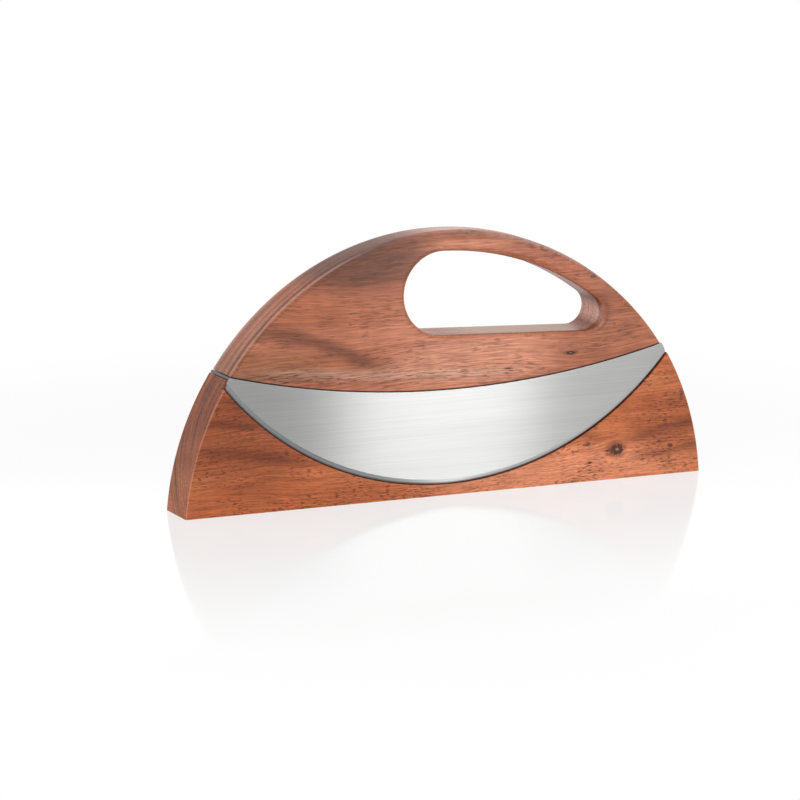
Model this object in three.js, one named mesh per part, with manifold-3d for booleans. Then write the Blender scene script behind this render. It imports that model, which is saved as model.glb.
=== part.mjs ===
// Mezzaluna in its stand: a half-round chopping knife with a crescent blade, parked in a wooden block.
// Millimetres, +Z up, +X to the right as seen from the front, which faces -Y.
// The origin is the middle of the stand's foot, on the table.
import * as THREE from 'three';
import { mergeVertices } from 'three/addons/utils/BufferGeometryUtils.js';
import Module from 'manifold-3d';

// The arch: handle and stand are cut from one half-round block
const archWidth = 280; // across the foot
const archHeight = 130; // table to crown
const blockThickness = 24; // front face to rear face
const handleRimDepth = 6; // the handle's outer rim is rolled over this much of the thickness
const handleRimFall = 1.8; // and drawn in by this much at the faces
const standEdgeRadius = 1; // eased rim of the stand

// The blade: a crescent between a flat spine arc and a deep cutting arc, flush with the front face
const edgeHeight = 5.9; // lowest point of the cutting edge above the table
const bladeDepth = 46.7; // cutting edge to spine, at the middle
const spineRise = 14.6; // ends of the spine above its middle
const bladeEndDepth = 5.9; // length of the blade's short ends
const bladeEndInset = 0.3; // the blade's ends stop this far inside the arch
const bladeThickness = 2;
const bladeTipRadius = 2.5; // rounded corner between the short end and the cutting edge
const bevelWidth = 2.3; // ground band along the cutting edge, on both faces
const edgeLand = 0.3; // thickness left at the cutting edge

// The tang plate: a strip bent to the spine arc, welded square to the back of the blade
const tangThickness = 1.2;
const tangInset = 0.5; // its rear edge to the rear face of the block

// The screws that hold the tang plate up against the handle
const screwCount = 4;
const screwEndInset = 20; // outermost screws to the ends of the spine
const screwLength = 16;
const screwShankRadius = 1.75;
const screwHeadRadius = 3.5;
const screwHeadRim = 0.3; // straight rim of the countersunk head
const screwPointLength = 4;

// The grip hole: a broad end and a narrow end under one long arc
const gripStart = -24.8; // broad end of the hole, from the middle of the arch
const gripLength = 107.5;
const gripCrownWall = 9.1; // wood over the hole, at the crown
const gripFloorWall = 27.1; // wood between the hole's broad end and the spine
const gripFloorFall = 3.3; // the floor drops this much towards the narrow end
const gripNarrowRadius = 9.2;
const gripArcRadius = 145.5; // long arc over the knuckles
const gripEdgeRadius = 3; // roundover of the hole's rims

// Clearances
const weldGap = 0.3; // tang plate to blade
const shadowGap = 0.4; // handle to the steel below it
const seatGap = 0.3; // tang plate to the stand that it rests on
const pocketGap = 0.5; // blade to the bottom of its pocket
const edgeGap = 0.8; // cutting edge to the rim of its pocket
const screwGap = 0.3;

// Smoothness: facets stand this far off the true curve, and cutters reach this far past what they cut
const facetHeight = 0.025;
const cutterRun = 5;

const wasm = await Module();
wasm.setup();

// Circles whose centres lie on the middle line of the arch, at (0, height) in the plane of the blade

function circleThrough(middle, side) {
  const rise = side.y - middle;
  const radius = (side.x ** 2 + rise ** 2) / (2 * rise);
  return { height: middle + radius, radius: Math.abs(radius) };
}

function grown(circle, amount) {
  return { height: circle.height, radius: circle.radius + amount };
}

function crossing(a, b) {
  const squares = a.radius ** 2 - b.radius ** 2 - a.height ** 2 + b.height ** 2;
  const y = squares / (2 * (b.height - a.height));
  return new THREE.Vector2(Math.sqrt(a.radius ** 2 - (y - a.height) ** 2), y);
}

function pointAt(circle, height) {
  return new THREE.Vector2(Math.sqrt(circle.radius ** 2 - (height - circle.height) ** 2), height);
}

function angleOf(circle, point) {
  return Math.atan2(point.y - circle.height, point.x);
}

// Points along an arc without its last one, so that arcs can be chained into an outline
function arcPoints(x, y, radius, from, to, steps) {
  return new THREE.ArcCurve(x, y, radius, from, to, to < from).getPoints(steps).slice(0, -1);
}

function stepsFor(radius, sweep) {
  const step = 2 * Math.acos(1 - facetHeight / radius);
  return Math.max(2, Math.ceil(Math.abs(sweep) / step));
}

const archArc = circleThrough(archHeight, new THREE.Vector2(archWidth / 2, 0));
const endArc = grown(archArc, -bladeEndInset);
const spineHeight = edgeHeight + bladeDepth;
const spineEnd = pointAt(endArc, spineHeight + spineRise);
const spineArc = circleThrough(spineHeight, spineEnd);
const endTurn = 2 * Math.asin(bladeEndDepth / (2 * endArc.radius));
const edgeEnd = spineEnd.clone().rotateAround(new THREE.Vector2(0, endArc.height), -endTurn);
const edgeArc = circleThrough(edgeHeight, edgeEnd);

// Solids

function solidOf(geometry) {
  const bare = geometry.clone();
  bare.deleteAttribute('normal');
  bare.deleteAttribute('uv');
  const merged = mergeVertices(bare);
  const corners = merged.index.array;
  const triangles = [];
  for (let i = 0; i < corners.length; i += 3) {
    const [a, b, c] = corners.slice(i, i + 3);
    if (a !== b && b !== c && c !== a) triangles.push(a, b, c);
  }
  return new wasm.Manifold(new wasm.Mesh({
    numProp: 3,
    vertProperties: new Float32Array(merged.attributes.position.array),
    triVerts: new Uint32Array(triangles),
  }));
}

function geometryOf(solid) {
  const mesh = solid.getMesh();
  const geometry = new THREE.BufferGeometry();
  geometry.setAttribute('position', new THREE.BufferAttribute(mesh.vertProperties, 3));
  geometry.setIndex(new THREE.BufferAttribute(mesh.triVerts, 1));
  geometry.computeVertexNormals();
  return geometry;
}

// A plain disc on an arch circle, standing upright between two depths
function discSolid(circle, front, rear) {
  const steps = stepsFor(circle.radius, 2 * Math.PI);
  const disc = new THREE.CylinderGeometry(circle.radius, circle.radius, rear - front, steps);
  return solidOf(disc.translate(0, (front + rear) / 2, circle.height));
}

// The half-round block as it comes off the lathe: a thick disc with its two rims rounded over
function blockSolid(rimFall, rimDepth) {
  const half = blockThickness / 2;
  const quarter = Math.PI / 2;
  const rimSteps = stepsFor(Math.max(rimFall, rimDepth), quarter);
  const inner = archArc.radius - rimFall;
  const profile = [
    new THREE.Vector2(0, -half),
    ...new THREE.EllipseCurve(inner, rimDepth - half, rimFall, rimDepth, -quarter, 0).getPoints(rimSteps),
    ...new THREE.EllipseCurve(inner, half - rimDepth, rimFall, rimDepth, 0, quarter).getPoints(rimSteps),
    new THREE.Vector2(0, half),
  ];
  const disc = new THREE.LatheGeometry(profile, stepsFor(archArc.radius, 2 * Math.PI));
  return solidOf(disc.translate(0, 0, archArc.height));
}

// Skins a row of outlines, counterclockwise from the front and alike in number of points, and caps its ends
function loft(levels) {
  const count = levels[0].outline.length;
  const positions = levels.flatMap(({ outline, depth }) => outline.flatMap((p) => [p.x, depth, p.y]));
  const index = [];
  for (let level = 0; level + 1 < levels.length; level += 1) {
    for (let i = 0; i < count; i += 1) {
      const next = (i + 1) % count;
      const a = level * count + i;
      const b = level * count + next;
      index.push(a, a + count, b + count, a, b + count, b);
    }
  }
  const last = (levels.length - 1) * count;
  THREE.ShapeUtils.triangulateShape(levels[0].outline, []).forEach(([a, b, c]) => index.push(a, b, c));
  THREE.ShapeUtils.triangulateShape(levels.at(-1).outline, []).forEach(([a, b, c]) => {
    index.push(last + c, last + b, last + a);
  });
  const geometry = new THREE.BufferGeometry();
  geometry.setAttribute('position', new THREE.Float32BufferAttribute(positions, 3));
  geometry.setIndex(index);
  geometry.computeVertexNormals();
  return geometry;
}

// Mirrors the right half of an outline, which runs from its bottom middle up to its top middle
function bothSides(half) {
  const left = half.slice(1, -1).reverse().map((p) => new THREE.Vector2(-p.x, p.y));
  return [...half, ...left];
}

// Screws: countersunk, standing in a row along the tang plate, each square to the spine arc

function screwGeometry(gap, run) {
  const coneTop = screwHeadRim + screwHeadRadius - screwShankRadius;
  const profile = [
    new THREE.Vector2(0, -run),
    new THREE.Vector2(screwHeadRadius + gap, -run),
    new THREE.Vector2(screwHeadRadius + gap, screwHeadRim),
    new THREE.Vector2(screwShankRadius + gap, coneTop),
    new THREE.Vector2(screwShankRadius + gap, screwLength - screwPointLength),
    new THREE.Vector2(0, screwLength + gap),
  ];
  const screw = new THREE.LatheGeometry(profile, stepsFor(screwHeadRadius, 2 * Math.PI));
  return screw.rotateX(Math.PI / 2);
}

function screwPlaces() {
  const underside = spineArc.radius + tangThickness;
  const reach = Math.asin((spineEnd.x - screwEndInset) / spineArc.radius);
  return Array.from({ length: screwCount }, (_, i) => {
    const lean = reach * (2 * i / (screwCount - 1) - 1);
    const place = new THREE.Object3D();
    place.position.set(underside * Math.sin(lean), 0, spineArc.height - underside * Math.cos(lean));
    place.rotation.y = -lean;
    place.updateMatrix();
    return place;
  });
}

const places = screwPlaces();
const screwHoles = places.map((place) => solidOf(screwGeometry(screwGap, cutterRun).applyMatrix4(place.matrix)));

// Blade: ground from both faces, which stop short of the cutting arc by the width of the ground band

const bladeSteps = { edge: 36, tip: 6, end: 2, spine: 18 };

function bladeOutline(grind) {
  const tipRadius = Math.min(bladeTipRadius, bladeEndDepth - bevelWidth);
  const edge = grown(edgeArc, -grind);
  const tip = crossing(grown(edge, -tipRadius), grown(endArc, -tipRadius));
  const bottom = -Math.PI / 2;
  const edgeAngle = angleOf(edge, tip);
  const endAngle = angleOf(endArc, tip);
  return bothSides([
    ...arcPoints(0, edge.height, edge.radius, bottom, edgeAngle, bladeSteps.edge),
    ...arcPoints(tip.x, tip.y, tipRadius, edgeAngle, endAngle, bladeSteps.tip),
    ...arcPoints(0, endArc.height, endArc.radius, endAngle, angleOf(endArc, spineEnd), bladeSteps.end),
    ...arcPoints(0, spineArc.height, spineArc.radius, angleOf(spineArc, spineEnd), bottom, bladeSteps.spine),
    new THREE.Vector2(0, spineHeight),
  ]);
}

function bladeGeometry() {
  const face = bladeOutline(bevelWidth);
  const full = bladeOutline(0);
  const front = -blockThickness / 2;
  const grindDepth = (bladeThickness - edgeLand) / 2;
  return loft([
    { outline: face, depth: front },
    { outline: full, depth: front + grindDepth },
    { outline: full, depth: front + bladeThickness - grindDepth },
    { outline: face, depth: front + bladeThickness },
  ]);
}

// Tang plate: a bent strip with its top flush with the spine, countersunk from below

function tangGeometry() {
  const under = grown(spineArc, tangThickness);
  const underEnd = crossing(under, endArc);
  const bottom = -Math.PI / 2;
  const outline = bothSides([
    ...arcPoints(0, under.height, under.radius, bottom, angleOf(under, underEnd), bladeSteps.spine),
    underEnd,
    ...arcPoints(0, spineArc.height, spineArc.radius, angleOf(spineArc, spineEnd), bottom, bladeSteps.spine),
    new THREE.Vector2(0, spineHeight),
  ]);
  const front = bladeThickness + weldGap - blockThickness / 2;
  const rear = blockThickness / 2 - tangInset;
  const strip = solidOf(loft([{ outline, depth: front }, { outline, depth: rear }]));
  return geometryOf(screwHoles.reduce((solid, hole) => solid.subtract(hole), strip));
}

// Handle: the top of the block, with its underside on the spine arc and the grip hole through it

const gripSteps = { broad: 30, narrow: 18, arc: 22, rim: 6 };

function gripOutline(grow) {
  const floor = spineHeight + gripFloorWall;
  const broadRadius = (archHeight - gripCrownWall - floor) / 2;
  const broad = new THREE.Vector2(gripStart + broadRadius, floor + broadRadius);
  const narrowX = gripStart + gripLength - gripNarrowRadius;
  const narrow = new THREE.Vector2(narrowX, floor - gripFloorFall + gripNarrowRadius);
  const line = narrow.clone().sub(broad);
  const distance = line.length();
  const heading = line.angle();
  const broadReach = gripArcRadius - broadRadius;
  const narrowReach = gripArcRadius - gripNarrowRadius;
  const along = (broadReach ** 2 - narrowReach ** 2 + distance ** 2) / (2 * distance);
  const toArc = heading - Math.acos(along / broadReach);
  const arc = new THREE.Vector2(broadReach, 0).rotateAround(new THREE.Vector2(), toArc).add(broad);
  const fromArc = (centre) => centre.clone().sub(arc).angle();
  const floorAngle = heading - Math.PI / 2 - Math.asin((gripNarrowRadius - broadRadius) / distance);
  const turn = 2 * Math.PI;
  return [
    ...arcPoints(broad.x, broad.y, broadRadius + grow, fromArc(broad), floorAngle, gripSteps.broad),
    new THREE.Vector2(broadRadius + grow, 0).rotateAround(new THREE.Vector2(), floorAngle).add(broad),
    ...arcPoints(narrow.x, narrow.y, gripNarrowRadius + grow, floorAngle, fromArc(narrow) + turn, gripSteps.narrow),
    ...arcPoints(arc.x, arc.y, gripArcRadius + grow, fromArc(narrow), fromArc(broad), gripSteps.arc),
  ];
}

function gripSolid() {
  const half = blockThickness / 2;
  const rear = [];
  for (let i = 0; i <= gripSteps.rim; i += 1) {
    const turn = (i / gripSteps.rim) * (Math.PI / 2);
    const flare = gripEdgeRadius * (1 - Math.cos(turn));
    rear.push({ outline: gripOutline(flare), depth: half - gripEdgeRadius * (1 - Math.sin(turn)) });
  }
  rear.push({ outline: gripOutline(gripEdgeRadius), depth: half + cutterRun });
  const front = rear.map(({ outline, depth }) => ({ outline, depth: -depth })).reverse();
  return solidOf(loft([...front, ...rear]));
}

function handleGeometry() {
  const reach = blockThickness / 2 + cutterRun;
  const above = discSolid(grown(spineArc, -shadowGap), -reach, reach);
  const handle = blockSolid(handleRimFall, handleRimDepth).intersect(above).subtract(gripSolid());
  return geometryOf(screwHoles.reduce((solid, hole) => solid.subtract(hole), handle));
}

// Stand: the foot of the block, with a crescent pocket in its front face that takes the blade

function standGeometry() {
  const half = blockThickness / 2;
  const reach = half + cutterRun;
  const pocketArc = grown(edgeArc, edgeGap);
  const pocketDepth = bladeThickness + pocketGap;
  const seat = discSolid(grown(spineArc, tangThickness + seatGap), -reach, reach);
  const pocket = discSolid(pocketArc, -reach, pocketDepth - half);
  const tableSize = 2 * archWidth;
  const table = new THREE.BoxGeometry(tableSize, tableSize, tableSize).translate(0, 0, -tableSize / 2);
  const cuts = [solidOf(table), seat, pocket];
  return geometryOf(cuts.reduce((solid, cut) => solid.subtract(cut), blockSolid(standEdgeRadius, standEdgeRadius)));
}

// Assembly

function piece(name, geometry, finish) {
  const mesh = new THREE.Mesh(geometry, new THREE.MeshStandardMaterial(finish));
  mesh.name = name;
  return mesh;
}

const handleWood = { color: 0xb5785c, roughness: 0.45, metalness: 0 };
const standWood = { color: 0xa8643f, roughness: 0.45, metalness: 0 };
const brushedSteel = { color: 0xc4c4c2, roughness: 0.32, metalness: 1 };
const screwSteel = { color: 0xb0b0b0, roughness: 0.25, metalness: 1 };

const knife = new THREE.Group();
knife.add(piece('handle', handleGeometry(), handleWood));
knife.add(piece('tang_plate', tangGeometry(), brushedSteel));
knife.add(piece('blade', bladeGeometry(), brushedSteel));
places.forEach((place, i) => {
  const screw = piece(`tang_screw_${i + 1}`, screwGeometry(0, 0), screwSteel);
  screw.position.copy(place.position);
  screw.rotation.copy(place.rotation);
  knife.add(screw);
});

const mezzaluna = new THREE.Group();
mezzaluna.add(piece('stand', standGeometry(), standWood));
mezzaluna.add(knife);

export default mezzaluna;
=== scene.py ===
# Mezzaluna in its stand: a half-round chopping knife with a crescent blade, parked in a wooden block.
# Metres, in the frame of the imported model: +X to the right, the front faces -Y, +Z up, the table at 0.
import math
from collections import namedtuple
import bpy
from mathutils import Matrix, Vector


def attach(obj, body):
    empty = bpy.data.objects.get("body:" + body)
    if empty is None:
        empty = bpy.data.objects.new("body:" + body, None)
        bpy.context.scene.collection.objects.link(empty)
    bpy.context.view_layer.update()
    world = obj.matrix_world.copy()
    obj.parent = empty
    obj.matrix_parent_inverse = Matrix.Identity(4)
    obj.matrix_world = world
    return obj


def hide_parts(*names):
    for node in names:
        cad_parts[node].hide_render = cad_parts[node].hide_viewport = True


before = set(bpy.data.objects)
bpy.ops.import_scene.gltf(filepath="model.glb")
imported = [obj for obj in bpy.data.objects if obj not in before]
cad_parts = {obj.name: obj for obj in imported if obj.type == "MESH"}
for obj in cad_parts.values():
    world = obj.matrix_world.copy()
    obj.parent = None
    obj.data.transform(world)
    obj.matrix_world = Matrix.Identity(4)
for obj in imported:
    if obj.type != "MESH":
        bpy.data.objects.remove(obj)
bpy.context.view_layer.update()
bpy.ops.object.select_all(action="DESELECT")

# Stand
# The foot of the arch: a block of oiled reddish hardwood, turned as a thick disc, sawn flat for the table
# and dished along its top to take the tang. A shallow crescent pocket in its front face takes the blade.

mm = 0.001
arch_width = 280 * mm
arch_height = 130 * mm
block_thickness = 24 * mm
block_front = -block_thickness / 2
block_rear = block_thickness / 2
stand_edge_radius = 1 * mm
edge_height = 5.9 * mm
blade_depth = 46.7 * mm
spine_rise = 14.6 * mm
blade_end_depth = 5.9 * mm
blade_end_inset = 0.3 * mm
blade_thickness = 2 * mm
tang_thickness = 1.2 * mm
seat_gap = 0.3 * mm
pocket_gap = 0.5 * mm
edge_gap = 0.5 * mm
cutter_run = 5 * mm
rim_reach = 5 * mm
on_circle = 0.05 * mm
same_place = 0.01 * mm
disc_sides = 720
round_steps = 8

# A circle whose centre lies on the middle line of the arch, at this height
Circle = namedtuple("Circle", "height radius")


def circle_through(middle, side):
    """The circle that passes through a height on the middle line and through a point beside it."""
    rise = side[1] - middle
    radius = (side[0] ** 2 + rise ** 2) / (2 * rise)
    return Circle(middle + radius, abs(radius))


def grown(circle, amount):
    return Circle(circle.height, circle.radius + amount)


def crossing(first, second):
    """The point right of the middle line where two circles cross."""
    squares = first.radius ** 2 - second.radius ** 2 - first.height ** 2 + second.height ** 2
    height = squares / (2 * (second.height - first.height))
    return math.sqrt(first.radius ** 2 - (height - first.height) ** 2), height


def angle_on(circle, point):
    return math.atan2(point[1] - circle.height, point[0])


arch_arc = circle_through(arch_height, (arch_width / 2, 0))
end_arc = grown(arch_arc, -blade_end_inset)
spine_height = edge_height + blade_depth
spine_end_height = spine_height + spine_rise
spine_end = (math.sqrt(end_arc.radius ** 2 - (spine_end_height - end_arc.height) ** 2), spine_end_height)
spine_arc = circle_through(spine_height, spine_end)
edge_end_angle = angle_on(end_arc, spine_end) - 2 * math.asin(blade_end_depth / (2 * end_arc.radius))
edge_end = (
    end_arc.radius * math.cos(edge_end_angle),
    end_arc.height + end_arc.radius * math.sin(edge_end_angle),
)
edge_arc = circle_through(edge_height, edge_end)


def distance_from(circle, point):
    """How far a point lies from a circle's centre, seen from the front."""
    return math.hypot(point.x, point.z - circle.height)


def is_level(one, other):
    """Whether an edge stays at one depth."""
    return abs(one.y - other.y) < same_place


def add_disc(name, circle, front, rear):
    """A plain disc on one of those circles, standing upright between two depths."""
    bpy.ops.mesh.primitive_cylinder_add(
        vertices=disc_sides,
        radius=circle.radius,
        depth=rear - front,
        location=(0, (front + rear) / 2, circle.height),
        rotation=(math.pi / 2, 0, 0),
    )
    disc = bpy.context.object
    disc.name = name
    disc.data.name = name
    bpy.ops.object.transform_apply()
    return disc


def add_long_disc(name, circle):
    """A disc to cut with, which runs out past both faces of a block."""
    return add_disc(name, circle, block_front - cutter_run, block_rear + cutter_run)


def select_edges(piece, wanted):
    """Opens a piece in edit mode with the edges selected whose two ends pass a test together."""
    bpy.context.view_layer.objects.active = piece
    bpy.ops.object.mode_set(mode="EDIT")
    bpy.ops.mesh.select_mode(type="EDGE")
    bpy.ops.mesh.select_all(action="DESELECT")
    bpy.ops.object.mode_set(mode="OBJECT")
    points = piece.data.vertices
    for edge in piece.data.edges:
        edge.select = wanted(*(points[i].co for i in edge.vertices))
    bpy.ops.object.mode_set(mode="EDIT")


def on_rim(circle):
    """A test for the edges that run round the front or the rear rim of a disc."""
    def wanted(one, other):
        far = min(distance_from(circle, point) for point in (one, other))
        return is_level(one, other) and far > circle.radius - on_circle
    return wanted


def round_over(radius):
    """Rounds the edges that are selected, and leaves edit mode."""
    bpy.ops.mesh.bevel(offset=radius, segments=round_steps, profile=0.5, affect="EDGES", clamp_overlap=False)
    bpy.ops.object.mode_set(mode="OBJECT")


def add_block(name, edge_radius):
    """The turned disc that a block is cut from, with its two rims rounded over."""
    block = add_disc(name, arch_arc, block_front, block_rear)
    select_edges(block, on_rim(arch_arc))
    round_over(edge_radius)
    return block


def carve(piece, cutter, operation="DIFFERENCE"):
    """Cuts a piece with another, which is used up."""
    change = piece.modifiers.new("carve", "BOOLEAN")
    change.operation = operation
    change.solver = "EXACT"
    change.object = cutter
    bpy.context.view_layer.objects.active = piece
    bpy.ops.object.modifier_apply(modifier=change.name)
    bpy.data.objects.remove(cutter)


def ease_edges(piece, width, segments, sharpest, smoothest):
    """Takes the sharpness off the hard edges that are left, with no corner standing proud of the faces, and
    smooths the shading up to them. An edge is hard past the first angle, and shading breaks past the second.

    Stubs of edge that the cuts left along the arch are closed up first, since easing would fold them over.
    """
    def stub(one, other):
        far = min(distance_from(arch_arc, point) for point in (one, other))
        short = (one - other).length < 1.5 * width
        return is_level(one, other) and far > arch_arc.radius - rim_reach and short

    bpy.ops.object.select_all(action="DESELECT")
    piece.select_set(True)
    select_edges(piece, stub)
    bpy.ops.mesh.merge(type="COLLAPSE")
    bpy.ops.object.mode_set(mode="OBJECT")
    ease = piece.modifiers.new("ease", "BEVEL")
    ease.width = width
    ease.segments = segments
    ease.limit_method = "ANGLE"
    ease.angle_limit = math.radians(sharpest)
    ease.use_clamp_overlap = False
    bpy.ops.object.modifier_apply(modifier=ease.name)
    for point in piece.data.vertices:
        point.co.y = max(block_front, min(block_rear, point.co.y))
    bpy.ops.object.shade_smooth_by_angle(angle=math.radians(smoothest))
    flatten = piece.modifiers.new("flatten", "WEIGHTED_NORMAL")
    flatten.keep_sharp = True
    bpy.ops.object.modifier_apply(modifier=flatten.name)
    piece.select_set(False)


stand = add_block("stand_block", stand_edge_radius)
bpy.ops.object.mode_set(mode="EDIT")
bpy.ops.mesh.select_all(action="SELECT")
bpy.ops.mesh.bisect(plane_co=(0, 0, 0), plane_no=(0, 0, 1), clear_inner=True, use_fill=True)
bpy.ops.object.mode_set(mode="OBJECT")
seat_arc = grown(spine_arc, tang_thickness + seat_gap)
carve(stand, add_long_disc("seat", seat_arc))
pocket_rear = block_front + blade_thickness + pocket_gap
pocket_arc = grown(edge_arc, edge_gap)
carve(stand, add_disc("pocket", pocket_arc, block_front - cutter_run, pocket_rear))
ease_edges(stand, width=0.2 * mm, segments=2, sharpest=40, smoothest=35)


class Wire:
    """A socket in a node tree. Arithmetic on it adds Math nodes, and node() adds any other node.

    One without a socket is the bench that a material's first nodes are added from.
    """

    def __init__(self, tree, socket=None):
        self.tree = tree
        self.socket = socket

    def node(self, kind, settings, sockets, output=0):
        added = self.tree.nodes.new("ShaderNode" + kind)
        for name, value in settings.items():
            setattr(added, name, value)
        for name, value in sockets.items():
            if isinstance(value, Wire):
                self.tree.links.new(value.socket, added.inputs[name])
            else:
                added.inputs[name].default_value = value
        return Wire(self.tree, added.outputs[output])

    def feed(self, shader, name):
        self.tree.links.new(self.socket, shader.inputs[name])

    def maths(self, operation, *values):
        return self.node("Math", {"operation": operation}, dict(enumerate(values)))

    def blend(self, first, second, share):
        """Mixes two colours."""
        return self.node("Mix", {"data_type": "RGBA"}, {0: share, 6: first, 7: second}, 2)

    def fade(self, start, stop):
        """Rises smoothly from 0 at start to 1 at stop, which may be the lower of the two."""
        span = {"Value": self, "From Min": start, "From Max": stop}
        return self.node("MapRange", {"interpolation_type": "SMOOTHSTEP"}, span)

    def __add__(self, other):
        return self.maths("ADD", self, other)

    def __sub__(self, other):
        return self.maths("SUBTRACT", self, other)

    def __rsub__(self, other):
        return self.maths("SUBTRACT", other, self)

    def __mul__(self, other):
        return self.maths("MULTIPLY", self, other)

    def __truediv__(self, other):
        return self.maths("DIVIDE", self, other)

    def __rtruediv__(self, other):
        return self.maths("DIVIDE", other, self)

    def __pow__(self, other):
        return self.maths("POWER", self, other)

    def __abs__(self):
        return self.maths("ABSOLUTE", self)

    __radd__ = __add__
    __rmul__ = __mul__


def tone(red, green, blue):
    """A colour written as it looks on a screen, from 0 to 255."""
    return tuple(((part / 255 + 0.055) / 1.055) ** 2.4 for part in (red, green, blue)) + (1,)


def new_material(name):
    material = bpy.data.materials.new(name)
    material.use_nodes = True
    return material, material.node_tree.nodes["Principled BSDF"], Wire(material.node_tree)


def dress(piece, material):
    """Gives a piece this material alone."""
    piece.data.materials.clear()
    piece.data.materials.append(material)


def places_in_mm(bench):
    place = bench.node("TexCoord", {}, {}, "Object")
    return tuple(bench.node("SeparateXYZ", {}, {"Vector": place}, axis) / mm for axis in "XYZ")


def oiled_wood(
    name, pale, middle, deep, pore_length, pore_depth, ends, layering,
    washes, bands, flecks, knots, marks, shift, reach, polish=None,
):
    """Open-pored hardwood with its grain along X: streaks, fibres and dark pores on the two broad faces, and
    the edges of its growth layers on the surfaces between them.

    Pore length is in millimetres, and pore depth is how plainly the pores show.
    Ends is how much lighter the surfaces between the faces are, and layering how plainly their layers show.
    The shift takes another board.
    A wash is a soft patch of another tone: its middle on the front, its reach, its tone and its depth.
    A band is a soft streak: its two ends on the front, its bend, its half width, its tone and its depth.
    A fleck is a row of wide dark pores: its two ends, its bend, its half width and its depth.
    A knot is a point of the front, its size, its stretch and its depth.
    A mark is a tone and a function of the place in millimetres that says how far it covers the wood.
    Reach and polish are functions of the place too: how far back the front's figure runs round its rim, and
    how far hands have polished the surfaces between the faces.
    """
    material, shader, bench = new_material(name)
    x, y, z = places_in_mm(bench)

    def noise(along, through, across, detail):
        spot = bench.node("CombineXYZ", {}, {"X": along + shift, "Y": through, "Z": across})
        return bench.node("TexNoise", {}, {"Vector": spot, "Scale": 1, "Detail": detail}, "Fac")

    half = block_rear / mm
    arris = half - reach(x, z)
    face = (0 - y).fade(arris - 0.4, arris + 0.4) + y.fade(half - 1.1, half - 0.3)
    sway = (noise(x / 95, y / 70, z / 45, 1) - 0.5) * 12
    level = z + sway
    rings = []
    for knot_x, knot_z, size, stretch, depth in knots:
        off_x = (x - knot_x) / (stretch * size)
        off_z = (z - knot_z) / size
        away = off_x * off_x + off_z * off_z
        level = level - off_z * (1.2 * size) / (away * 0.5 + 1)
        rings.append((away, depth))
    broad = noise(x / 150, y / 40, level / 16, 2)
    streak = noise(x / 45, y / 9, level / 2.2, 3)
    fibre = noise(x / 18, y / 3, level / 0.8, 2)
    stroke = noise(x / pore_length, y / 3, level / 0.7, 1)
    pore = noise(x / 6, y / 4, level / 0.6, 2)
    patch = noise(x / 26, y / 15, level / 8, 2)
    ribbon = noise((x + z * 0.35) / 8, y / 20, z / 35, 1)
    foot_turn = x.maths("MAXIMUM", 1 - z / 60, 0)
    layers = noise(x / 50, (y + foot_turn * foot_turn * 24) / 2, z / 50, 3)
    speck = noise(x / 1.1, y / 1.6, z / 1.1, 1)

    def near_line(start, stop, bend, width):
        """1 along a bent line on the faces, and 0 from its half width on and past its two ends."""
        run = ((x - start[0]) / (stop[0] - start[0])).fade(0, 1)
        line = start[1] + run * (stop[1] - start[1]) + run * (1 - run) * (4 * bend)
        soft = (stop[0] - start[0]) * 0.3
        between = x.fade(start[0] - 4, start[0] + soft) * x.fade(stop[0] + 4, stop[0] - soft)
        return abs(z + sway * 0.2 - line).fade(width, 0) * between * face

    colour = bench.blend(pale, middle, broad.fade(0.36, 0.62))
    for (wash_x, wash_z), (reach_x, reach_z), wash, depth in washes:
        off_x = (x - wash_x) / reach_x
        off_z = (z - wash_z + sway * 0.4) / reach_z
        colour = bench.blend(colour, wash, (off_x * off_x + off_z * off_z).fade(1, 0) * depth)
    for start, stop, bend, width, band, depth in bands:
        share = near_line(start, stop, bend, width) * (streak.fade(0.3, 0.6) * 0.4 + 0.6)
        colour = bench.blend(colour, band, share * depth)
    for away, depth in rings:
        ragged = away + (pore - 0.5) * 2 + (speck - 0.5) * 3
        colour = bench.blend(colour, deep, ragged.fade(5, 0.5) * depth * 0.6)
        colour = bench.blend(colour, tone(62, 32, 30), ragged.fade(1.6, 0.7) * depth)
        colour = bench.blend(colour, tone(136, 112, 84), away.fade(0.16, 0.03) * depth)
    figure = (fibre - 0.5) * 1.5 + (streak - 0.5) * 0.6 + (ribbon - 0.5) * 0.3
    light = 1 + face * figure + (1 - face) * ((layers - 0.5) * layering + (speck - 0.5) * 0.9 + ends)
    colour = bench.node("VectorMath", {"operation": "SCALE"}, {0: colour, "Scale": light}, "Vector")
    dark = stroke.fade(0.5, 0.66) * (patch.fade(0.4, 0.62) * 0.7 + 0.3) * face * pore_depth
    for start, stop, bend, width, depth in flecks:
        dark = dark + pore.fade(0.52, 0.64) * near_line(start, stop, bend, width) * depth
    colour = bench.blend(colour, deep, dark * 0.85)
    for mark, cover in marks:
        colour = bench.blend(colour, mark, cover(x, y, z))
    colour.feed(shader, "Base Color")
    (0.36 + fibre * 0.1 + dark * 0.15).feed(shader, "Roughness")
    shine = polish(x, z) if polish else 0
    (0.12 + (1 - face) * shine).feed(shader, "Coat Weight")
    height = fibre * 0.4 - dark + layers * 0.3 + speck * 0.4
    bump = bench.node("Bump", {}, {"Strength": 0.3, "Distance": 0.06 * mm, "Height": height}, "Normal")
    bump.feed(shader, "Normal")
    shader.inputs["Specular IOR Level"].default_value = 0.15
    shader.inputs["Coat IOR"].default_value = 1.5
    shader.inputs["Coat Roughness"].default_value = 0.22
    return material


def past(circle, x, z):
    """How many millimetres a place lies outside a circle."""
    rise = z - circle.height / mm
    return (x * x + rise * rise) ** 0.5 - circle.radius / mm


# How far back the figure of the front runs, in millimetres, as materials read their places
eased_reach = 0.7
pocket_floor_reach = 2.9

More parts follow.
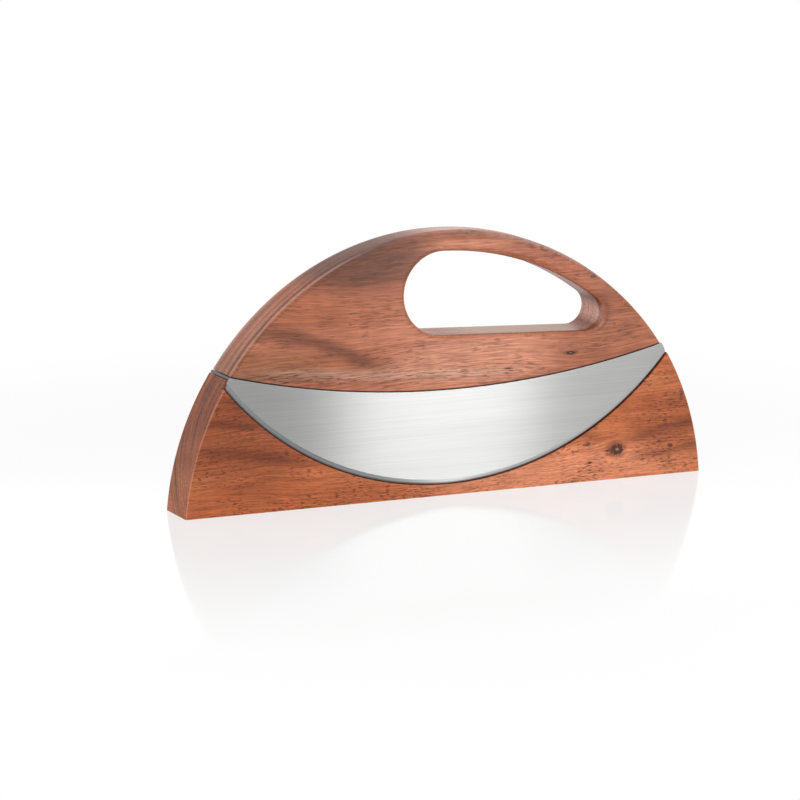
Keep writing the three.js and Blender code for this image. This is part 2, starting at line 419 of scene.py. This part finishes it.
# A dark tone laid on as painted shade in the pocket, along gaps and along the roll of the handle
painted_shade_tone = tone(46, 28, 22)
stand_dark = tone(84, 40, 26)
stand_streak = tone(96, 48, 34)


def pocket_painted_shade(x, y, z):
    """The routed walls of the pocket, painted dark: painted shade for the narrow recess round the blade."""
    front = block_front / mm
    floor = pocket_rear / mm
    walls = y.fade(front + 0.7, front + 1) * y.fade(floor, floor - 0.2)
    return past(pocket_arc, x, z).fade(0.3, 0.1) * walls * 0.6


def arris_painted_highlight(x, y, z):
    """The arris between the front and the arch, with a painted highlight along it."""
    behind = y - block_front / mm
    turn = behind.fade(0.8, 0.5) * behind.fade(0.02, 0.15)
    return turn * past(arch_arc, x, z).fade(-1, -0.6) * 0.3


def pocket_reach(x, z):
    """How far back the figure of the front shows, in millimetres: down to the floor of the pocket."""
    return eased_reach + past(pocket_arc, x, z).fade(0.1, -0.1) * (pocket_floor_reach - eased_reach)


stand_wood = oiled_wood(
    "stand_wood",
    pale=tone(189, 112, 71),
    middle=tone(166, 90, 52),
    deep=stand_dark,
    pore_length=3,
    pore_depth=0.9,
    ends=-0.1,
    layering=2.6,
    # Partly the wood's own tone and partly painted light: darker to the left and at the far right, with a
    # paler patch low on the right as painted sheen
    washes=[
        ((-112, 40), (60, 40), tone(124, 60, 34), 0.7),
        ((62, 6), (96, 15), tone(210, 137, 103), 0.7),
        ((128, 28), (36, 34), tone(140, 74, 44), 0.55),
    ],
    bands=[
        ((-140, 33), (-74, 24), 0, 5, stand_dark, 0.7),
        ((-132, 46), (-98, 42), 0, 3.5, stand_dark, 0.7),
        ((-124, 56), (-100, 51), 0, 3, stand_dark, 0.6),
        ((70, 24), (84, 22), 0, 4, tone(110, 54, 38), 0.5),
        ((94, 19), (146, 26), 1, 4.5, stand_streak, 0.75),
        ((100, 10), (146, 14), 0, 4, stand_streak, 0.65),
    ],
    flecks=[
        ((66, 4), (95, 16), 0, 5, 1),
        ((96, 20), (140, 25), 1, 3, 0.5),
        ((-60, 7), (20, 3), 0, 4, 0.4),
    ],
    knots=[(92.7, 15, 2.4, 1.35, 0.9), (76.5, 19, 0.6, 1.4, 0.8), (123.2, 14.6, 0.6, 1.4, 0.8)],
    # Marks: painted shade on the pocket walls, and a painted highlight along the front arris
    marks=[(painted_shade_tone, pocket_painted_shade), (tone(226, 164, 138), arris_painted_highlight)],
    shift=3.7,
    reach=pocket_reach,
)
dress(stand, stand_wood)
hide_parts("stand")
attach(stand, "stand")

# Handle
# The top of the arch: a second block of the same hardwood, pinker and more figured. Its underside is sawn
# along the spine of the blade, the grip hole is routed through it, and its rims are rounded for the hand.

handle_edge_radius = 1.8 * mm
roll_depth = 4.5 * mm
roll_fall = 1.1 * mm
bow_roll_depth = 5 * mm
bow_roll_fall = 2.2 * mm
bow_lean = 0.1
bow_spread = 0.6
shoulder_lean = 0.5
shoulder_spread = 0.35
palm_lean = 0.04
palm_spread = 0.16
roll_slant = 0.5
shadow_gap = 0.4 * mm
grip_start = -24.8 * mm
grip_length = 107.5 * mm
grip_crown_wall = 9.1 * mm
grip_floor_wall = 27.1 * mm
grip_floor_fall = 3.3 * mm
grip_narrow_radius = 9.2 * mm
grip_arc_radius = 145.5 * mm
grip_edge_radius = 3 * mm
grip_end_stretch = 1
screw_count = 4
screw_end_inset = 20 * mm
screw_length = 16 * mm
screw_shank_radius = 1.75 * mm
screw_head_radius = 3.5 * mm
screw_head_rim = 0.3 * mm
screw_point_length = 4 * mm
screw_gap = 0.3 * mm
screw_sides = 48
drill_sides = 32
above_sawn_edge = 20 * mm


def draw_outline(name, depth, start, arcs):
    """Draws an upright outline at a depth, from arcs: each one's centre, its turn and its number of steps."""
    bpy.ops.mesh.primitive_plane_add(size=mm, location=(start[0], depth, start[1]))
    outline = bpy.context.object
    outline.name = name
    outline.data.name = name
    bpy.ops.object.transform_apply()
    bpy.ops.object.mode_set(mode="EDIT")
    bpy.ops.mesh.select_mode(type="VERT")
    bpy.ops.mesh.merge(type="CENTER")
    for centre, turn, steps in arcs:
        middle = (centre[0], depth, centre[1])
        bpy.ops.mesh.spin(steps=steps, angle=turn, center=middle, axis=(0, 1, 0))
    bpy.ops.mesh.select_all(action="SELECT")
    bpy.ops.mesh.remove_doubles(threshold=same_place)
    bpy.ops.object.mode_set(mode="OBJECT")
    return outline


# The hole has a broad and a narrow end, a long arc that touches both above and a straight floor below
grip_floor = spine_height + grip_floor_wall
grip_broad_radius = (arch_height - grip_crown_wall - grip_floor) / 2
broad = Vector((grip_start + grip_broad_radius, grip_floor + grip_broad_radius))
narrow_floor = grip_floor - grip_floor_fall
narrow = Vector((grip_start + grip_length - grip_narrow_radius, narrow_floor + grip_narrow_radius))
grip_line = narrow - broad
grip_heading = math.atan2(grip_line.y, grip_line.x)
broad_reach = grip_arc_radius - grip_broad_radius
narrow_reach = grip_arc_radius - grip_narrow_radius
along_line = (broad_reach ** 2 - narrow_reach ** 2 + grip_line.length_squared) / (2 * grip_line.length)
toward_arc = grip_heading - math.acos(along_line / broad_reach)
arc_centre = broad + broad_reach * Vector((math.cos(toward_arc), math.sin(toward_arc)))
broad_angle = math.atan2(broad.y - arc_centre.y, broad.x - arc_centre.x)
narrow_angle = math.atan2(narrow.y - arc_centre.y, narrow.x - arc_centre.x)
floor_lean = math.asin((grip_narrow_radius - grip_broad_radius) / grip_line.length)
floor_angle = grip_heading - math.pi / 2 - floor_lean
floor_start = narrow + grip_narrow_radius * Vector((math.cos(floor_angle), math.sin(floor_angle)))
grip = draw_outline("grip", block_front - cutter_run, floor_start, [
    (narrow, narrow_angle - floor_angle, 40),
    (arc_centre, broad_angle - narrow_angle, 60),
    (broad, floor_angle + 2 * math.pi - broad_angle, 70),
])
bpy.ops.object.mode_set(mode="EDIT")
bpy.ops.mesh.select_all(action="SELECT")
bpy.ops.mesh.edge_face_add()
through = block_thickness + 2 * cutter_run
bpy.ops.mesh.extrude_region_move(TRANSFORM_OT_translate={"value": (0, through, 0)})
bpy.ops.mesh.select_all(action="SELECT")
bpy.ops.mesh.normals_make_consistent(inside=False)
bpy.ops.object.mode_set(mode="OBJECT")


def roll_rims(block, edge_radius):
    """Stretches the round of the two rims into a long roll for the palm, deepest in front along the bow and
    behind on its right shoulder.

    Part of the roll is a plain slant, which leaves a crisp line along the crown.
    """
    for point in block.data.vertices:
        rise = point.co.z - arch_arc.height
        far = math.hypot(point.co.x, rise)
        inward = (block_rear - abs(point.co.y)) / edge_radius
        if far < arch_arc.radius - 1.01 * edge_radius or inward > 1.01:
            continue
        drawn_in = (arch_arc.radius - far) / edge_radius
        lean, spread = (bow_lean, bow_spread) if point.co.y < 0 else (shoulder_lean, shoulder_spread)
        bow = math.exp(-((math.atan2(point.co.x, rise) - lean) / spread) ** 2)
        slanted = roll_slant * (1 - inward) + (1 - roll_slant) * drawn_in
        fall = (roll_fall + bow * bow_roll_fall) * slanted
        scale = (arch_arc.radius - fall) / far
        depth = block_rear - inward * (roll_depth + bow * bow_roll_depth)
        point.co = (point.co.x * scale, math.copysign(depth, point.co.y), arch_arc.height + rise * scale)


handle = add_block("handle_block", handle_edge_radius)
roll_rims(handle, handle_edge_radius)
sawn_arc = grown(spine_arc, -shadow_gap)
carve(handle, add_long_disc("above_spine", sawn_arc), "INTERSECT")
carve(handle, grip)


def on_grip_rim(one, other):
    """A test for the edges of the grip hole in the front and the rear face."""
    flush = all(abs(abs(point.y) - block_rear) < same_place for point in (one, other))
    far = max(distance_from(arch_arc, point) for point in (one, other))
    above = all(point.z > spine_height + above_sawn_edge for point in (one, other))
    return flush and is_level(one, other) and far < arch_arc.radius - rim_reach and above


select_edges(handle, on_grip_rim)
round_over(grip_edge_radius)

# In front, the round widens toward the middle of the hole's narrow end
end_middle_angle = (floor_angle + narrow_angle) / 2
end_half_angle = (narrow_angle - floor_angle) / 2
for point in handle.data.vertices:
    away = Vector((point.co.x, point.co.z)) - narrow
    outside = away.length - grip_narrow_radius
    inward = point.co.y - block_front
    turned = abs(math.atan2(away.y, away.x) - end_middle_angle) / end_half_angle
    reach = 1.01 * grip_edge_radius
    if -same_place < outside < reach and inward < reach and turned < 1:
        stretch = 1 + grip_end_stretch * math.cos(turned * math.pi / 2) ** 2
        opened = narrow + away.normalized() * (grip_narrow_radius + outside * stretch)
        point.co = (opened.x, block_front + inward * stretch, opened.y)

under_tang = grown(spine_arc, tang_thickness)
screw_reach = math.asin((spine_end[0] - screw_end_inset) / spine_arc.radius)
screw_places = []
for number in range(screw_count):
    lean = screw_reach * (2 * number / (screw_count - 1) - 1)
    foot = (under_tang.radius * math.sin(lean), 0, under_tang.height - under_tang.radius * math.cos(lean))
    screw_places.append(Matrix.Translation(foot) @ Matrix.Rotation(-lean, 4, "Y"))


def extrude_up(rise):
    bpy.ops.mesh.extrude_region_move(TRANSFORM_OT_translate={"value": (0, 0, rise)})


def add_screw_drill(place):
    """What a countersinking drill takes away for one screw: the shank's bore and the head's cone."""
    head_bore = screw_head_radius + screw_gap
    bpy.ops.mesh.primitive_circle_add(vertices=drill_sides, radius=head_bore, fill_type="NGON")
    drill = bpy.context.object
    drill.name = "drill"
    bpy.ops.object.mode_set(mode="EDIT")
    bpy.ops.mesh.select_all(action="SELECT")
    bpy.ops.transform.translate(value=(0, 0, -cutter_run))
    cone = screw_head_radius - screw_shank_radius
    neck = (screw_shank_radius + screw_gap) / head_bore
    extrude_up(cutter_run + screw_head_rim)
    extrude_up(cone)
    bpy.ops.transform.resize(value=(neck, neck, 1))
    extrude_up(screw_length + screw_gap - screw_head_rim - cone)
    bpy.ops.mesh.select_all(action="SELECT")
    bpy.ops.mesh.normals_make_consistent(inside=False)
    bpy.ops.object.mode_set(mode="OBJECT")
    drill.matrix_world = place
    bpy.ops.object.transform_apply()
    return drill


for place in screw_places:
    carve(handle, add_screw_drill(place))
ease_edges(handle, width=0.2 * mm, segments=2, sharpest=40, smoothest=35)


def bell(x, z, lean, spread):
    """1 at a lean from upright round the arch's centre, in radians, and falling off over the spread."""
    off = (x.maths("ARCTAN2", x, z - arch_arc.height / mm) - lean) / spread
    return x.maths("EXPONENT", 0 - off * off)


def rolled_rim(x, z):
    """How far the roll of the front rim reaches back, in millimetres. Round the grip hole it is short."""
    deep = roll_depth / mm + bell(x, z, bow_lean, bow_spread) * (bow_roll_depth / mm)
    return eased_reach + past(arch_arc, x, z).fade(-8.5, -5.5) * (deep - eased_reach)


def palm_polish(x, z):
    """The crown is dull but for its left end, and bright at its top, where the palm rests."""
    palm = bell(x, z, palm_lean, palm_spread) * 0.5
    dull = x.fade(-95, -78) * 0.2
    return 0.12 + past(arch_arc, x, z).fade(-8, -5) * (palm + 0.08 - dull)


def along_roll(x, y, z, start, stop):
    """A line along the roll on the left of the crown, between two distances in front of its rear end."""
    ahead = rolled_rim(x, z) - block_rear / mm - y
    line = ahead.fade(start - 0.5, start + 0.1) * ahead.fade(stop + 0.5, stop - 0.3)
    return line * past(arch_arc, x, z).fade(-4, -2) * x.fade(-30, -70)


def handle_painted_shade(x, y, z):
    """Painted shade: a dark line at the start of that roll, along the rim of the grip hole and along the sawn
    edge above the gap to the blade.
    """
    grip_rim = past(arch_arc, x, z).fade(-6, -8.5) * z.fade(70, 74) * y.fade(-11, -10) * y.fade(-7, -9)
    sawn_edge = past(sawn_arc, x, z).fade(-0.5, -0.2)
    return along_roll(x, y, z, -0.9, 0.5) * 0.45 + grip_rim * 0.35 + sawn_edge * 0.7


def roll_painted_highlight(x, y, z):
    """A painted highlight: a pale line along the middle of that roll."""
    return along_roll(x, y, z, 1.2, 2.8) * 0.4


def hole_floor_painted_sheen(x, y, z):
    """The floor of the grip hole, painted paler and greyer than the faces: a painted sheen for the white it
    mirrors at a glancing view.
    """
    inside = past(arch_arc, x, z).fade(-6, -8.5) * y.fade(-10, -8) * y.fade(10.5, 9)
    level = z.fade(74, 75.5) * z.fade(82, 80.5)
    return inside * level * x.fade(-2, 22) * x.fade(76, 66) * 0.5


handle_wood = oiled_wood(
    "handle_wood",
    pale=tone(181, 116, 89),
    middle=tone(162, 97, 70),
    deep=tone(86, 48, 34),
    pore_length=6,
    pore_depth=0.65,
    ends=0.02,
    layering=1.5,
    # Partly the wood's own tone and partly painted light: darker toward the two ends, paler low in the middle
    # as painted sheen
    washes=[
        ((-80, 90), (62, 46), tone(152, 88, 60), 0.6),
        ((-48, 121), (50, 20), tone(80, 44, 30), 0.85),
        ((-98, 70), (42, 12), tone(138, 90, 62), 0.65),
        ((12, 66), (66, 14), tone(212, 150, 124), 0.55),
        ((56, 113), (40, 14), tone(166, 98, 74), 0.5),
        ((90, 78), (52, 42), tone(148, 88, 62), 0.7),
        # Painted shade round the narrow end of the grip hole, and a painted highlight in the middle of its
        # wall
        ((82, 86), (9, 13), tone(116, 70, 54), 0.6),
        ((80, 84.5), (5.2, 6.6), tone(240, 190, 172), 0.9),
    ],
    bands=[
        ((-118, 88), (-26, 66), 4, 7, tone(88, 50, 36), 0.75),
        ((-124, 68), (60, 58.5), -1, 5, tone(186, 150, 128), 0.55),
        ((-120, 68), (-50, 63.5), -1, 3, tone(92, 60, 44), 0.5),
    ],
    flecks=[
        ((-124, 67), (-20, 61), -1, 5, 0.9),
        ((-40, 61.5), (60, 59), 0, 5, 0.8),
        ((-66, 106), (-20, 122), 0, 9, 0.8),
        ((-100, 80), (-40, 72), 2, 6, 0.3),
        ((20, 118), (70, 110), 0, 5, 0.5),
    ],
    knots=[(65.6, 66, 0.75, 3.2, 0.9), (77.3, 103.5, 0.6, 1.8, 0.6)],
    # Marks: painted shade, a painted highlight along the roll, and a painted sheen on the floor of the grip
    # hole
    marks=[
        (painted_shade_tone, handle_painted_shade),
        (tone(214, 164, 146), roll_painted_highlight),
        (tone(205, 173, 142), hole_floor_painted_sheen),
    ],
    shift=21.3,
    reach=rolled_rim,
    polish=palm_polish,
)
dress(handle, handle_wood)
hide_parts("handle")
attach(handle, "knife")

# Blade
# A crescent of stainless sheet, brushed along its length, flush with the front of both blocks. A narrow
# band along the cutting edge is ground from both sides. Its back is welded to the tang plate.

blade_tip_radius = 2.5 * mm
bevel_width = 2.3 * mm
edge_land = 0.3 * mm
face_inset = 0.15 * mm


def draw_blade(name, grind, depth):
    """The blade's outline, with its cutting arc drawn in by the ground band where it is wanted."""
    tip_radius = min(blade_tip_radius, blade_end_depth - bevel_width)
    cutting = grown(edge_arc, -grind)
    tip = crossing(grown(cutting, -tip_radius), grown(end_arc, -tip_radius))
    cutting_turn = angle_on(cutting, tip) + math.pi / 2
    tip_turn = angle_on(end_arc, tip) - angle_on(cutting, tip)
    end_turn = angle_on(end_arc, spine_end) - angle_on(end_arc, tip)
    spine_turn = angle_on(spine_arc, spine_end) + math.pi / 2
    cutting_middle = (0, cutting.height)
    end_middle = (0, end_arc.height)
    return draw_outline(name, depth, (0, cutting.height - cutting.radius), [
        (cutting_middle, cutting_turn, 120),
        (tip, tip_turn, 10),
        (end_middle, end_turn, 4),
        ((0, spine_arc.height), -2 * spine_turn, 180),
        (end_middle, end_turn, 4),
        ((-tip[0], tip[1]), tip_turn, 10),
        (cutting_middle, cutting_turn, 120),
    ])


# Four outlines, one behind the other, which are bridged in turn and closed in front and behind
blade_back = block_front + blade_thickness
grind_depth = (blade_thickness - edge_land) / 2
blade_levels = (block_front, block_front + grind_depth, blade_back - grind_depth, blade_back)
outlines = [
    draw_blade(f"outline_{number}", grind, depth)
    for number, (grind, depth) in enumerate(zip((bevel_width, 0, 0, bevel_width), blade_levels))
]
for outline in outlines:
    outline.select_set(True)
blade = outlines[0]
blade.name = "blade_sheet"
blade.data.name = "blade_sheet"
bpy.context.view_layer.objects.active = blade
bpy.ops.object.join()


def at_depths(*depths):
    """A test for the edges of outlines at certain depths."""
    def wanted(one, other):
        return is_level(one, other) and any(abs(one.y - depth) < same_place for depth in depths)
    return wanted


for pair in zip(blade_levels, blade_levels[1:]):
    select_edges(blade, at_depths(*pair))
    bpy.ops.mesh.bridge_edge_loops()
    bpy.ops.object.mode_set(mode="OBJECT")
for depth in (block_front, blade_back):
    select_edges(blade, at_depths(depth))
    bpy.ops.mesh.edge_face_add()
    bpy.ops.object.mode_set(mode="OBJECT")
bpy.ops.object.mode_set(mode="EDIT")
bpy.ops.mesh.select_all(action="SELECT")
bpy.ops.mesh.normals_make_consistent(inside=False)
bpy.ops.mesh.select_mode(type="FACE")
bpy.ops.mesh.select_all(action="DESELECT")
bpy.ops.object.mode_set(mode="OBJECT")
for face in blade.data.polygons:
    face.select = face.normal.y < -0.999
bpy.ops.object.mode_set(mode="EDIT")
bpy.ops.mesh.inset(thickness=face_inset)
bpy.ops.object.mode_set(mode="OBJECT")
ease_edges(blade, width=0.08 * mm, segments=2, sharpest=45, smoothest=20)


def brushing(bench, along, across, detail):
    """The noise of fine lines along X, from their length, their width and their detail."""
    x, y, z = places_in_mm(bench)
    spot = bench.node("CombineXYZ", {}, {"X": x / along, "Y": y / across, "Z": z / across})
    return bench.node("TexNoise", {}, {"Vector": spot, "Scale": 1, "Detail": detail}, "Fac")


brushed_steel, shader, bench = new_material("brushed_steel")
x, y, z = places_in_mm(bench)
lines = brushing(bench, along=60, across=0.22, detail=2)
drift = brushing(bench, along=150, across=12, detail=2)
ground = past(grown(edge_arc, -bevel_width), x, z).fade(-0.05, 0.05)
behind = y - blade_back / mm
strip = behind.fade(0.1, 0.2)
brushed = lines.fade(0.3, 0.7) * 0.35 + drift * 0.55
steel_tone = bench.blend(tone(144, 144, 144), tone(164, 164, 163), brushed)
# The ground band is painted darker at the left end and paler toward the middle as a painted reflection, and
# darker along the cutting edge itself
ground_tone = bench.blend(tone(116, 118, 119), tone(196, 198, 198), x.fade(-90, 20))
ground_tone = bench.blend(ground_tone, tone(72, 74, 76), past(edge_arc, x, z).fade(-0.9, -0.5) * 0.7)
steel_tone = bench.blend(steel_tone, ground_tone, ground * 0.9)
# Behind the blade the tang plate is painted darker: painted shade for its end, which shows in the narrow gap
# between the blocks
bench.blend(steel_tone, tone(118, 117, 114), strip).feed(shader, "Base Color")
(0.275 + lines * 0.01 + drift * 0.02 + ground * 0.08 + strip * 0.08).feed(shader, "Roughness")
shader.inputs["Metallic"].default_value = 1
shader.inputs["Anisotropic"].default_value = 1
shader.inputs["Anisotropic Rotation"].default_value = 0.25
dress(blade, brushed_steel)
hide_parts("blade")
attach(blade, "knife")

# Tang plate
# A strip of the same steel, bent to the spine and welded square to the back of the blade. It is drilled
# and countersunk from below for the screws, and its end shows as a thin line between the two blocks.

tang_inset = 0.5 * mm
weld_gap = 0.3 * mm

tang_front = blade_back + weld_gap
tang_rear = block_rear - tang_inset
tang = add_disc("tang_strip", end_arc, tang_front, tang_rear)
carve(tang, add_long_disc("under_tang", under_tang), "INTERSECT")
carve(tang, add_long_disc("over_tang", spine_arc))
for place in screw_places:
    carve(tang, add_screw_drill(place))
ease_edges(tang, width=0.1 * mm, segments=2, sharpest=45, smoothest=35)
dress(tang, brushed_steel)
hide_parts("tang_plate")
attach(tang, "knife")

# Tang screws
# Four countersunk stainless screws that hold the tang plate up against the handle, each with a cross recess
# in its head. They are turned bright and sit square to the bend of the strip.

recess_length = 3.8 * mm
recess_width = 0.9 * mm
recess_depth = 1.3 * mm
point_share = 0.05

bpy.ops.mesh.primitive_circle_add(vertices=screw_sides, radius=screw_head_radius, fill_type="NGON")
screw = bpy.context.object
screw.name = "screw"
bpy.ops.object.mode_set(mode="EDIT")
bpy.ops.mesh.select_all(action="SELECT")
head_cone = screw_head_radius - screw_shank_radius
shank_run = screw_length - screw_point_length - screw_head_rim - head_cone
neck = screw_shank_radius / screw_head_radius
extrude_up(screw_head_rim)
extrude_up(head_cone)
bpy.ops.transform.resize(value=(neck, neck, 1))
extrude_up(shank_run)
extrude_up(screw_point_length)
bpy.ops.transform.resize(value=(point_share, point_share, 1))
bpy.ops.mesh.select_all(action="SELECT")
bpy.ops.mesh.normals_make_consistent(inside=False)
bpy.ops.object.mode_set(mode="OBJECT")
for turn in (0, math.pi / 2):
    cross_arm = (recess_length, recess_width, 2 * recess_depth)
    bpy.ops.mesh.primitive_cube_add(size=1, rotation=(0, 0, turn), scale=cross_arm)
    slot_cutter = bpy.context.object
    bpy.ops.object.transform_apply()
    carve(screw, slot_cutter)
ease_edges(screw, width=0.06 * mm, segments=2, sharpest=40, smoothest=35)

screw_steel, shader, bench = new_material("screw_steel")
turned = brushing(bench, along=1.5, across=0.3, detail=2)
bench.blend(tone(150, 150, 150), tone(186, 186, 185), turned).feed(shader, "Base Color")
(0.22 + turned * 0.16).feed(shader, "Roughness")
shader.inputs["Metallic"].default_value = 1
dress(screw, screw_steel)

for number, place in enumerate(screw_places, 1):
    copy = screw.copy()
    copy.data = screw.data.copy()
    copy.name = f"screw_{number}"
    copy.data.name = copy.name
    bpy.context.collection.objects.link(copy)
    bpy.ops.object.select_all(action="DESELECT")
    copy.select_set(True)
    bpy.context.view_layer.objects.active = copy
    copy.matrix_world = place
    bpy.ops.object.transform_apply()
    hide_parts(f"tang_screw_{number}")
    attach(copy, "knife")
bpy.data.objects.remove(screw)

# Floor
# A wide sheet of glossy white board. Seen directly or in the steel it is nearly as white as the backdrop, and
# it still takes a soft shadow and a faint mirror image of the stand.

floor_size = 16
least_white = 0.84
mirror_share = 0.16

# Distances from the middle of the stand, in millimetres, as materials read their places
white_starts = 160
white_reached = 420
mirror_full = 20
mirror_ends = 270


def seen_straight(bench):
    """1 for what the camera sees directly, in something glossy or through something clear, else 0."""
    kinds = ("Camera", "Glossy", "Transmission")
    rays = [bench.node("LightPath", {}, {}, f"Is {kind} Ray") for kind in kinds]
    return sum(rays).fade(0, 1)


bpy.ops.object.select_all(action="DESELECT")
bpy.ops.mesh.primitive_plane_add(size=floor_size)
floor = bpy.context.object
floor.name = "floor"
board, shader, bench = new_material("white_board")
shader.inputs["Base Color"].default_value = (0.86, 0.86, 0.86, 1)
shader.inputs["Roughness"].default_value = 0.6
output = board.node_tree.nodes["Material Output"]
x, y, z = places_in_mm(bench)
far = (x * x + y * y).fade(white_starts ** 2, white_reached ** 2)
near = abs(y).fade(mirror_ends, mirror_full)
whiteness = seen_straight(bench) * (far * (1 - least_white) + least_white)
white = bench.node("Emission", {}, {"Color": (1, 1, 1, 1), "Strength": 1}, "Emission")
lit = Wire(board.node_tree, shader.outputs["BSDF"])
plain = bench.node("MixShader", {}, {0: whiteness, 1: lit, 2: white}, "Shader")
mirror = bench.node("BsdfAnisotropic", {}, {"Color": (1, 1, 1, 1), "Roughness": 0.1}, "BSDF")
glossy = bench.node("MixShader", {}, {0: near * mirror_share, 1: plain, 2: mirror}, "Shader")
glossy.feed(output, "Surface")
dress(floor, board)

# Light
# A large soft box high on the left, a top light for the crown and the hole, two upright strips on the right
# that the steel mirrors as its pale band, and a light from behind that glances off the crown. The white
# surroundings fill in the rest.


def add_lamp(name, place, aim, width, height, watts):
    bpy.ops.object.light_add(type="AREA", location=place)
    lamp = bpy.context.object
    lamp.name = name
    lamp.rotation_euler = (Vector(aim) - Vector(place)).to_track_quat("-Z", "Y").to_euler()
    lamp.data.shape = "RECTANGLE"
    lamp.data.size = width
    lamp.data.size_y = height
    lamp.data.energy = watts


add_lamp("soft_box", (-0.7, -1.5, 1.1), (0, 0, 0.05), width=1.0, height=0.8, watts=16)
add_lamp("top_light", (0.1, 0.2, 1.5), (0, 0, 0.05), width=1.0, height=1.0, watts=4)
add_lamp("strip", (0.205, -0.45, 0.1), (0, 0, 0.1), width=0.112, height=0.2, watts=0.48)
add_lamp("side_strip", (0.311, -0.45, 0.1), (0, 0, 0.1), width=0.098, height=0.2, watts=0.1)
add_lamp("back_light", (0.76, 1.55, 0.5), (0, 0, 0.12), width=0.8, height=0.16, watts=0.36)

world = bpy.data.worlds.new("studio")
world.use_nodes = True
bpy.context.scene.world = world
bench = Wire(world.node_tree)
background = world.node_tree.nodes["Background"]
(seen_straight(bench) * 0.5 + 0.5).feed(background, "Strength")
background.inputs["Color"].default_value = (1, 1, 1, 1)

# Camera
# A long lens to the left of the front and a little above, with the picture turned by a fraction of a
# degree. Its place and its lens were fitted to the arch, the blade and the foot.

image_size = 800
focal_pixels = 4500
azimuth = math.radians(-25.683)
elevation = math.radians(11.615)
tilt = math.radians(0.6)
distance = 2194.89 * mm
target = Vector((-21.57, 0.15, 46.83)) * mm

back_axis = Vector((
    math.sin(azimuth) * math.cos(elevation),
    -math.cos(azimuth) * math.cos(elevation),
    math.sin(elevation),
))
level_right = Vector((math.cos(azimuth), math.sin(azimuth), 0))
level_up = back_axis.cross(level_right)
right_axis = math.cos(tilt) * level_right + math.sin(tilt) * level_up
up_axis = math.cos(tilt) * level_up - math.sin(tilt) * level_right
bpy.ops.object.camera_add()
camera = bpy.context.object
camera.matrix_world = Matrix.Translation(target + distance * back_axis) @ Matrix(
    (right_axis, up_axis, back_axis)).transposed().to_4x4()
camera.data.sensor_width = 36
camera.data.lens = focal_pixels * camera.data.sensor_width / image_size
bpy.context.scene.camera = camera
bpy.context.scene.view_settings.view_transform = "Standard"
